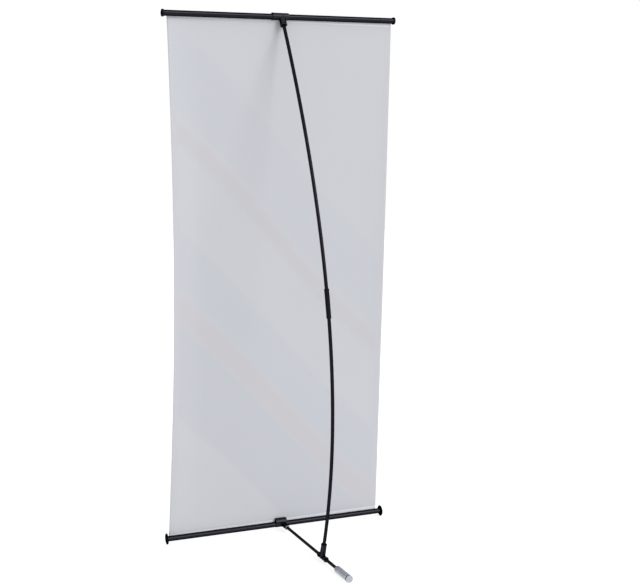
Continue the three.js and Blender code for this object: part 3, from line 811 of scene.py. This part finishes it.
# The foot tee is moulded black plastic: a sleeve that slides on the leg, with a lip at each end,
# and a leaning socket for the foot of the pole. A grub screw in its side grips the leg's rod.
socket_tilt = math.radians(16.1)
sleeve_radius = 0.0086
sleeve_lip = 0.0008
sleeve_lip_length = 0.0048
sleeve_end = foot_distance + 0.033
upright_root = 0.010
upright_radius = 0.0093
upright_lip = 0.0007
upright_lip_length = 0.0047
upright_length = 0.050
upright_mouth = 0.00755
upright_mouth_edge = 0.0080
web_middle = foot_distance + 0.017
web_half = 0.005
foot_screw_end = 0.0082
foot_middle = leg_root + leg_way * foot_distance
foot_screw_place = leg_root + leg_way * web_middle
square_up = along_x.cross(leg_way) * -1
socket_way = Quaternion(along_x, socket_tilt) @ square_up
sleeve_outline = lip(sleeve_radius, sleeve_lip, sleeve_start, sleeve_start + sleeve_lip_length)
sleeve_outline += lip(sleeve_radius, sleeve_lip, sleeve_end - sleeve_lip_length, sleeve_end)
sleeve = on_leg("sleeve", sleeve_outline, tee_sides)
upright_outline = [(upright_root, 0)]
upright_outline += lip(upright_radius, upright_lip, upright_length - upright_lip_length, upright_length)
upright = turned("upright", upright_outline, tee_sides, socket_way, foot_middle)
bores = [
    on_leg(name, [(radius, start), (radius, end)], tee_sides)
    for name, radius, start, end in (
        ("rod_bore", rod_bore, sleeve_start - cut_past, sleeve_end + cut_past),
        ("tube_bore", leg_socket_radius, sleeve_start - cut_past, web_middle - web_half),
        ("far_recess", leg_socket_radius, web_middle + web_half, sleeve_end + cut_past),
    )
]
socket_outline = [
    (pole_socket_radius, socket_floor),
    (upright_mouth, upright_length - 0.001),
    (upright_mouth_edge, upright_length + cut_past),
]
bores.append(turned("foot_socket", socket_outline, tee_sides, socket_way, foot_middle))
bores.append(turned("foot_screw_hole", screw_outline, 32, along_x, foot_screw_place))
mesh = moulding("tee_foot", [sleeve, upright], bores)
fitted(mesh, tee_plastic, "foot", "black_plastic", "foot_tee", sharp=32)
grub_screw("sleeve_screw", rod_bore, foot_screw_end, along_x, foot_screw_place, "foot", "foot_lock_screw")

# The pole is two solid glass-fibre rods, ground and lacquered black, that meet in a plastic
# ferrule. It is a little too long for the gap between its sockets, so it stands bowed, and that
# spring is what pulls the film tight. A rubbery cap covers each far end.
pole_radius = 0.00575
pole_bore = pole_radius + clearance
pole_sides = 40
pole_steps = 120
pole_cap_radius = 0.00645
pole_cap_length = 0.020
pole_cap_floor = 0.002
pole_cap_gap = 0.0009
pole_end = socket_floor + pole_cap_gap + pole_cap_floor + clearance
meeting_gap = 0.00015
ferrule_distance = 0.965
ferrule_half = 0.0465
ferrule_radius = 0.00775
ferrule_lip_radius = 0.00825
ferrule_end_radius = 0.0079
ferrule_waist_half = 0.02
ferrule_bevel = 0.001
ferrule_lip_length = 0.0036
top_pull = 0.527
foot_pull = 0.233
bow_steps = 600
pole_top = top_tee_middle + branch_way * pole_end
pole_foot = foot_middle + socket_way * pole_end
top_mouth = top_tee_middle + branch_way * branch_length
foot_mouth = foot_middle + socket_way * upright_length
span = (top_mouth - foot_mouth).length
top_handle = top_mouth + branch_way * top_pull * span
foot_handle = foot_mouth + socket_way * foot_pull * span
handles = [top_mouth, top_handle, foot_handle, foot_mouth]


def bow_point(share):
    left = 1 - share
    weights = (left ** 3, 3 * left ** 2 * share, 3 * left * share ** 2, share ** 3)
    return sum((handle * weight for handle, weight in zip(handles, weights)), Vector())


bow_samples = [bow_point(step / bow_steps) for step in range(bow_steps + 1)]
bow_lengths = [0.0]
for one, other in zip(bow_samples, bow_samples[1:]):
    bow_lengths.append(bow_lengths[-1] + (other - one).length)
bow_start = branch_length - pole_end
bow_end = bow_start + bow_lengths[-1]
pole_length = bow_end + upright_length - pole_end


def pole_point(distance):
    """The pole's middle line, at a distance from its upper end."""
    if distance < bow_start:
        return pole_top + branch_way * distance
    if distance > bow_end:
        return pole_foot + socket_way * (pole_length - distance)
    along = distance - bow_start
    index = min(max(bisect.bisect(bow_lengths, along) - 1, 0), bow_steps - 1)
    share = (along - bow_lengths[index]) / (bow_lengths[index + 1] - bow_lengths[index])
    return bow_samples[index].lerp(bow_samples[index + 1], share)


def geometry_group(name, inputs, made):
    """A Geometry Nodes group with its inputs, by name and kind, and the one shape that it makes."""
    tree = bpy.data.node_groups.new(name, "GeometryNodeTree")
    for label, kind in inputs.items():
        tree.interface.new_socket(label, in_out="INPUT", socket_type="NodeSocket" + kind)
    tree.interface.new_socket(made, in_out="OUTPUT", socket_type="NodeSocketGeometry")
    return tree, add_node(tree, "NodeGroupInput").outputs


def finish_group(tree, made, shape, finish):
    """Makes the shape real, gives it its finish and hands it out of the group."""
    realize = add_node(tree, "GeometryNodeRealizeInstances", {"Geometry": shape})
    coated = {"Geometry": realize.outputs["Geometry"], "Material": finish}
    coat = add_node(tree, "GeometryNodeSetMaterial", coated)
    add_node(tree, "NodeGroupOutput", {made: coat.outputs["Geometry"]})


def rod_tree():
    """Geometry Nodes that draw a round rod along a line and keep its straightened place for the grain."""
    inputs = {"Line": "Geometry", "Radius": "Float", "Sides": "Int", "Finish": "Material"}
    tree, given = geometry_group("rod_on_its_bow", inputs, "Rod")

    def noted(kind, label, shape, value):
        """Keeps a value on each point of the shape."""
        node = add_node(tree, "GeometryNodeCaptureAttribute")
        node.capture_items.new(kind, label)
        feed(node.inputs["Geometry"], shape)
        feed(node.inputs[label], value)
        return node.outputs["Geometry"], node.outputs[label]

    line = add_node(tree, "GeometryNodeMeshToCurve", {"Mesh": given["Line"]}).outputs["Curve"]
    circle = add_node(tree, "GeometryNodeCurvePrimitiveCircle", {
        "Resolution": given["Sides"], "Radius": given["Radius"],
    }).outputs["Curve"]
    distance = add_node(tree, "GeometryNodeSplineParameter").outputs["Length"]
    place = add_node(tree, "GeometryNodeInputPosition").outputs["Position"]
    line, along = noted("FLOAT", "along", line, distance)
    circle, around = noted("VECTOR", "around", circle, place)
    sweep = add_node(tree, "GeometryNodeCurveToMesh", {
        "Curve": line, "Profile Curve": circle, "Fill Caps": True,
    })
    split = parts_of(around)
    laid = add_node(tree, "ShaderNodeCombineXYZ", {"X": split["X"], "Y": split["Y"], "Z": along})
    store = add_node(tree, "GeometryNodeStoreNamedAttribute", {
        "Geometry": sweep.outputs["Mesh"], "Name": "grain", "Value": laid.outputs["Vector"],
    }, data_type="FLOAT_VECTOR")
    finish_group(tree, "Rod", store.outputs["Geometry"], given["Finish"])
    return tree


def drawn(name, mesh, tree, values):
    """The mesh that a Geometry Nodes group makes of another one."""
    source = in_scene("source", mesh)
    drawing = source.modifiers.new("drawing", "NODES")
    drawing.node_group = tree
    for item in tree.interface.items_tree:
        if item.name in values:
            drawing[item.identifier] = values[item.name]
    made = evaluated(source)
    made.name = name
    bpy.data.objects.remove(source)
    return made


def lacquered(name):
    """Black lacquer over ground glass fibre: faint fibre lines along the rod and a satin shine."""
    material = plain_finish(name, (0.010, 0.010, 0.014, 1), 0.3, metallic=1.0, edge_sheen=0.15)
    fibres = noise_of(straightened(material, 220), 1400, 4.0)
    dress(material, fibres, 0.00003, 0.2, {
        "Base Color": tinted(fibres, (0.0090, 0.0090, 0.0120, 1), (0.0160, 0.0160, 0.0200, 1)),
        "Roughness": spread(fibres, 0.14, 0.24),
    })
    return material


pole_lacquer = lacquered("pole_lacquer")
drawn_rod = rod_tree()
rod_values = {"Radius": pole_radius, "Sides": pole_sides, "Finish": pole_lacquer}
for name, start, end, node in (
    ("pole_rod_upper", 0.0, ferrule_distance - meeting_gap, "pole_upper"),
    ("pole_rod_lower", ferrule_distance + meeting_gap, pole_length, "pole_lower"),
):
    line = bpy.data.meshes.new(name + "_line")
    points = [pole_point(start + (end - start) * step / pole_steps) for step in range(pole_steps + 1)]
    line.from_pydata(points, [(step, step + 1) for step in range(pole_steps)], [])
    fitted(drawn(name, line, drawn_rod, rod_values), pole_lacquer, "pole", "glass_fibre", node)


def sleeve_on_pole(name, outline, sides):
    """A turned sleeve that follows the pole's bow. The outline is pairs of radius and distance."""
    reach = 0.002
    frames = []
    for _, distance in outline:
        way = (pole_point(distance + reach) - pole_point(distance - reach)).normalized()
        one_way = way.cross(along_x).normalized()
        frames.append((pole_point(distance), one_way, way.cross(one_way)))
    return round_skin(name, outline, sides, frames, closed=True)


half_outline = [
    (pole_bore, ferrule_half),
    (ferrule_end_radius, ferrule_half),
    (ferrule_lip_radius, ferrule_half - ferrule_bevel),
    (ferrule_lip_radius, ferrule_half - ferrule_lip_length),
    (ferrule_radius, ferrule_half - ferrule_lip_length - ferrule_bevel),
    (ferrule_radius, ferrule_waist_half),
]
ferrule_outline = [(radius, ferrule_distance - along) for radius, along in half_outline]
ferrule_outline += [(radius, ferrule_distance + along) for radius, along in reversed(half_outline)]
ferrule_outline.append((pole_bore, ferrule_distance))
mesh = sleeve_on_pole("pole_ferrule", rounded(ferrule_outline, radius=0.0005, closed=True), 64)
fitted(mesh, cap_plastic, "pole", "black_plastic", "ferrule")

pole_cap_outline = rounded([
    (0.0005, -pole_cap_floor - clearance),
    (pole_cap_radius, -pole_cap_floor - clearance),
    (pole_cap_radius, pole_cap_length),
    (pole_bore, pole_cap_length),
    (pole_bore, -clearance),
    (0.0005, -clearance),
], radius=0.0006, closed=True)
for name, place, way, node in (
    ("pole_tip_top", pole_top, branch_way, "pole_cap_upper"),
    ("pole_tip_foot", pole_foot, socket_way, "pole_cap_lower"),
):
    mesh = turned(name, pole_cap_outline, 48, way, place, closed=True)
    fitted(mesh, cap_plastic, "pole", "black_plastic", node)

# The weight is a bar of bright steel with flutes drawn along it. It is pushed over the leg's end
# and lies on the floor with its far end, where a clear moulded cap closes it.
weight_length = 0.0885
weight_radius = 0.0118
weight_chamfer = 0.0006
weight_end = weight_distance + weight_length
weight_sides = 288
weight_mouth = 0.0055
flute_count = 12
flute_depth = 0.0012
flute_reach = 0.002
# A narrow dark band at the bar's sawn end, next to the clear cap: a painted dark reflection.
dark_reflection_start = weight_end - 0.0048
dark_reflection_end = weight_end - 0.0040
lid_start = weight_end + clearance
lid_end = lid_start + 0.0032
lid_dish_radius = 0.0082
lid_dish_depth = 0.0005


def weight_blank():
    """The bar before its flutes are drawn, with the rod's blind bore in its near end."""
    outline = [
        (rod_bore, weight_distance + weight_bore_depth),
        (rod_bore, weight_distance + weight_chamfer),
        (weight_mouth, weight_distance),
        (weight_radius - weight_chamfer, weight_distance),
        (weight_radius, weight_distance + weight_chamfer),
    ]
    outline += [(weight_radius, weight_distance + weight_length * step / 6) for step in range(1, 6)]
    outline += [(weight_radius, weight_end - weight_chamfer), (weight_radius - weight_chamfer, weight_end)]
    return on_leg("weight_blank", outline, weight_sides)


def flute_tree():
    """Geometry Nodes that draw the flutes: points on the bar's skin move in where a flute passes."""
    inputs = {
        "Bar": "Geometry", "Flutes": "Float", "Depth": "Float", "Skin radius": "Float", "Axis": "Vector",
        "Finish": "Material",
    }
    tree, given = geometry_group("drawn_flutes", inputs, "Fluted bar")

    def vectors(operation, values):
        return add_node(tree, "ShaderNodeVectorMath", values, operation=operation).outputs["Vector"]

    laid = add_node(tree, "GeometryNodeInputNamedAttribute", {"Name": "grain"}, data_type="FLOAT_VECTOR")
    split = parts_of(laid.outputs["Attribute"])
    turns = maths("MULTIPLY", maths("ARCTAN2", split["Y"], split["X"]), given["Flutes"])
    inward = add_node(tree, "ShaderNodeMapRange", {
        "Value": maths("COSINE", turns), "From Min": -0.05, "From Max": 0.75,
    }, interpolation_type="SMOOTHSTEP")
    squares = maths("POWER", split["X"], 2.0), maths("POWER", split["Y"], 2.0)
    radius = maths("SQRT", maths("ADD", *squares))
    on_skin = maths("GREATER_THAN", radius, given["Skin radius"])
    groove = maths("MULTIPLY", inward.outputs["Result"], on_skin)
    # The groove share is kept on the bar for the steel's painted shade in the flutes.
    flute_shade_marked = add_node(tree, "GeometryNodeStoreNamedAttribute", {
        "Geometry": given["Bar"], "Name": "groove", "Value": groove,
    }, data_type="FLOAT")
    normal = add_node(tree, "GeometryNodeInputNormal").outputs["Normal"]
    lengthways = vectors("PROJECT", {0: normal, 1: given["Axis"]})
    outward = vectors("NORMALIZE", {0: vectors("SUBTRACT", {0: normal, 1: lengthways})})
    depth = maths("MULTIPLY", maths("MULTIPLY", groove, given["Depth"]), -1.0)
    offset = vectors("SCALE", {0: outward, "Scale": depth})
    moved = {"Geometry": flute_shade_marked.outputs["Geometry"], "Offset": offset}
    move = add_node(tree, "GeometryNodeSetPosition", moved)
    finish_group(tree, "Fluted bar", move.outputs["Geometry"], given["Finish"])
    return tree


def fluted_steel(name):
    """The bar's steel: polished lands, and flutes painted darker as painted shade in their hollows. The
    sawn end has a narrow dark band, a painted dark reflection."""
    material = bright_steel(name, 0.26, 60)
    base_colour = material.node_tree.nodes["Principled BSDF"].inputs["Base Color"]
    groove = add_node(material, "ShaderNodeAttribute", attribute_name="groove").outputs["Fac"]
    # The flutes are painted darker here: painted shade in their hollows.
    steel = tinted(groove, base_colour.links[0].from_socket, (0.20, 0.20, 0.24, 1))
    # This dark band at the sawn end is a painted dark reflection.
    along = parts_of(straightened(material, 1))["Z"]
    dark_reflection_band = slope(along, dark_reflection_start, dark_reflection_end)
    feed(base_colour, tinted(dark_reflection_band, steel, (0.020, 0.020, 0.024, 1)))
    return material


weight_steel = fluted_steel("weight_steel")
mesh = drawn("fluted_weight", weight_blank(), flute_tree(), {
    "Flutes": float(flute_count), "Depth": flute_depth, "Skin radius": weight_radius - flute_reach,
    "Finish": weight_steel, "Axis": tuple(leg_way),
})
fitted(mesh, weight_steel, "weight", "steel", "weight_body", sharp=50)


def clear_moulding(name):
    material = plain_finish(name, (0.74, 0.76, 0.82, 1), 0.22)
    place = add_node(material, "ShaderNodeTexCoord").outputs["Object"]
    scuffs = noise_of(place, 900, 4.0)
    dress(material, scuffs, 0.0001, 0.15, {
        "Roughness": spread(scuffs, 0.12, 0.34), "Transmission Weight": 0.35, "IOR": 1.49,
    })
    return material


lid_outline = rounded([
    (weight_radius - weight_chamfer, lid_start),
    (weight_radius, lid_start + 0.0004),
    (weight_radius, lid_end),
    (lid_dish_radius, lid_end),
    (lid_dish_radius - 0.0004, lid_end - lid_dish_depth),
    (0.0005, lid_end - lid_dish_depth),
], radius=0.0009)
mesh = on_leg("weight_lid", lid_outline, 72)
lid_clear = clear_moulding("weight_lid_clear")
fitted(mesh, lid_clear, "weight", "clear_plastic", "weight_end_cap")

# The floor is a plain pale studio floor that reaches far past the picture. It shows white to the
# camera and keeps the stand's shadow.
floor_half = 14


def shows_studio(owner):
    """1 for a ray from the camera, and for one that a piece mirrors or lets through."""
    path = add_node(owner, "ShaderNodeLightPath").outputs
    mirrored = maths("MAXIMUM", path["Is Glossy Ray"], path["Is Transmission Ray"])
    return maths("MAXIMUM", path["Is Camera Ray"], mirrored)


def studio_floor():
    material = bpy.data.materials.new("studio_floor")
    material.use_nodes = True
    nodes = material.node_tree.nodes
    nodes.remove(nodes["Principled BSDF"])
    pale = add_node(material, "ShaderNodeBsdfDiffuse", {"Color": (0.78, 0.78, 0.79, 1)})
    lit = add_node(material, "ShaderNodeBsdfDiffuse", {"Color": (0.5, 0.5, 0.5, 1)})
    glow = add_node(material, "ShaderNodeEmission", {"Color": (1, 1, 1, 1), "Strength": 0.72})
    white = add_node(material, "ShaderNodeAddShader", {0: lit.outputs[0], 1: glow.outputs[0]})
    mix = add_node(material, "ShaderNodeMixShader", {
        0: shows_studio(material), 1: pale.outputs[0], 2: white.outputs[0],
    })
    feed(nodes["Material Output"].inputs["Surface"], mix.outputs[0])
    return material


floor_mesh = bpy.data.meshes.new("studio_floor")
corners = [(x * floor_half, y * floor_half, 0) for x, y in ((-1, -1), (1, -1), (1, 1), (-1, 1))]
floor_mesh.from_pydata(corners, [], [(0, 1, 2, 3)])
floor_mesh.materials.append(studio_floor())
floor = in_scene("studio_floor", floor_mesh)

# The studio light is a pale room, a broad soft light that comes from the camera's right and from
# above it, and a smaller round lamp that lights the printed front.
world = bpy.data.worlds.new("studio")
bpy.context.scene.world = world
world.use_nodes = True
room = world.node_tree.nodes["Background"]
room.inputs["Color"].default_value = (0.97, 0.98, 1.0, 1)
room.inputs["Strength"].default_value = 0.66
white_room = add_node(world, "ShaderNodeBackground", {"Color": (1, 1, 1, 1), "Strength": 1.0})
choose = add_node(world, "ShaderNodeMixShader", {
    0: shows_studio(world), 1: room.outputs[0], 2: white_room.outputs[0],
})
feed(world.node_tree.nodes["World Output"].inputs["Surface"], choose.outputs[0])

key_light = bpy.data.lights.new("key_lamp", "SUN")
key_light.energy = 1.2
key_light.angle = math.radians(32)
key_lamp = in_scene("key_lamp", key_light)
key_side = Vector((0.38, -0.66, 0.42))
key_lamp.rotation_euler = key_side.to_track_quat("Z", "Y").to_euler()

front_light = bpy.data.lights.new("front_lamp", "AREA")
front_light.shape = "DISK"
front_light.size = 1.8
front_light.energy = 30
front_lamp = in_scene("front_lamp", front_light)
front_lamp.location = (1.8, 3.6, 2.8)
front_aim = Vector((0, 0.2, 0.9)) - front_lamp.location
front_lamp.rotation_euler = front_aim.to_track_quat("-Z", "Y").to_euler()

# The camera stands where the photograph was taken from: behind the banner, to its left, at about
# three quarters of its height, looking slightly down.
turn_degrees = -21.137
dip_degrees = 9.011
roll_degrees = -0.480
camera_data = bpy.data.cameras.new("camera")
camera_data.lens = 64.2
camera_data.sensor_width = 36
camera_data.shift_x = 0.0844
camera_data.shift_y = 0.0618
camera = in_scene("camera", camera_data)
camera.location = (-1.4591, -3.4040, 1.3520)
aim = Matrix.Rotation(math.radians(turn_degrees), 3, "Z")
aim = aim @ Matrix.Rotation(math.radians(90 - dip_degrees), 3, "X")
camera.rotation_euler = (aim @ Matrix.Rotation(math.radians(roll_degrees), 3, "Z")).to_euler()
bpy.context.scene.camera = camera
bpy.context.scene.view_settings.view_transform = "Standard"
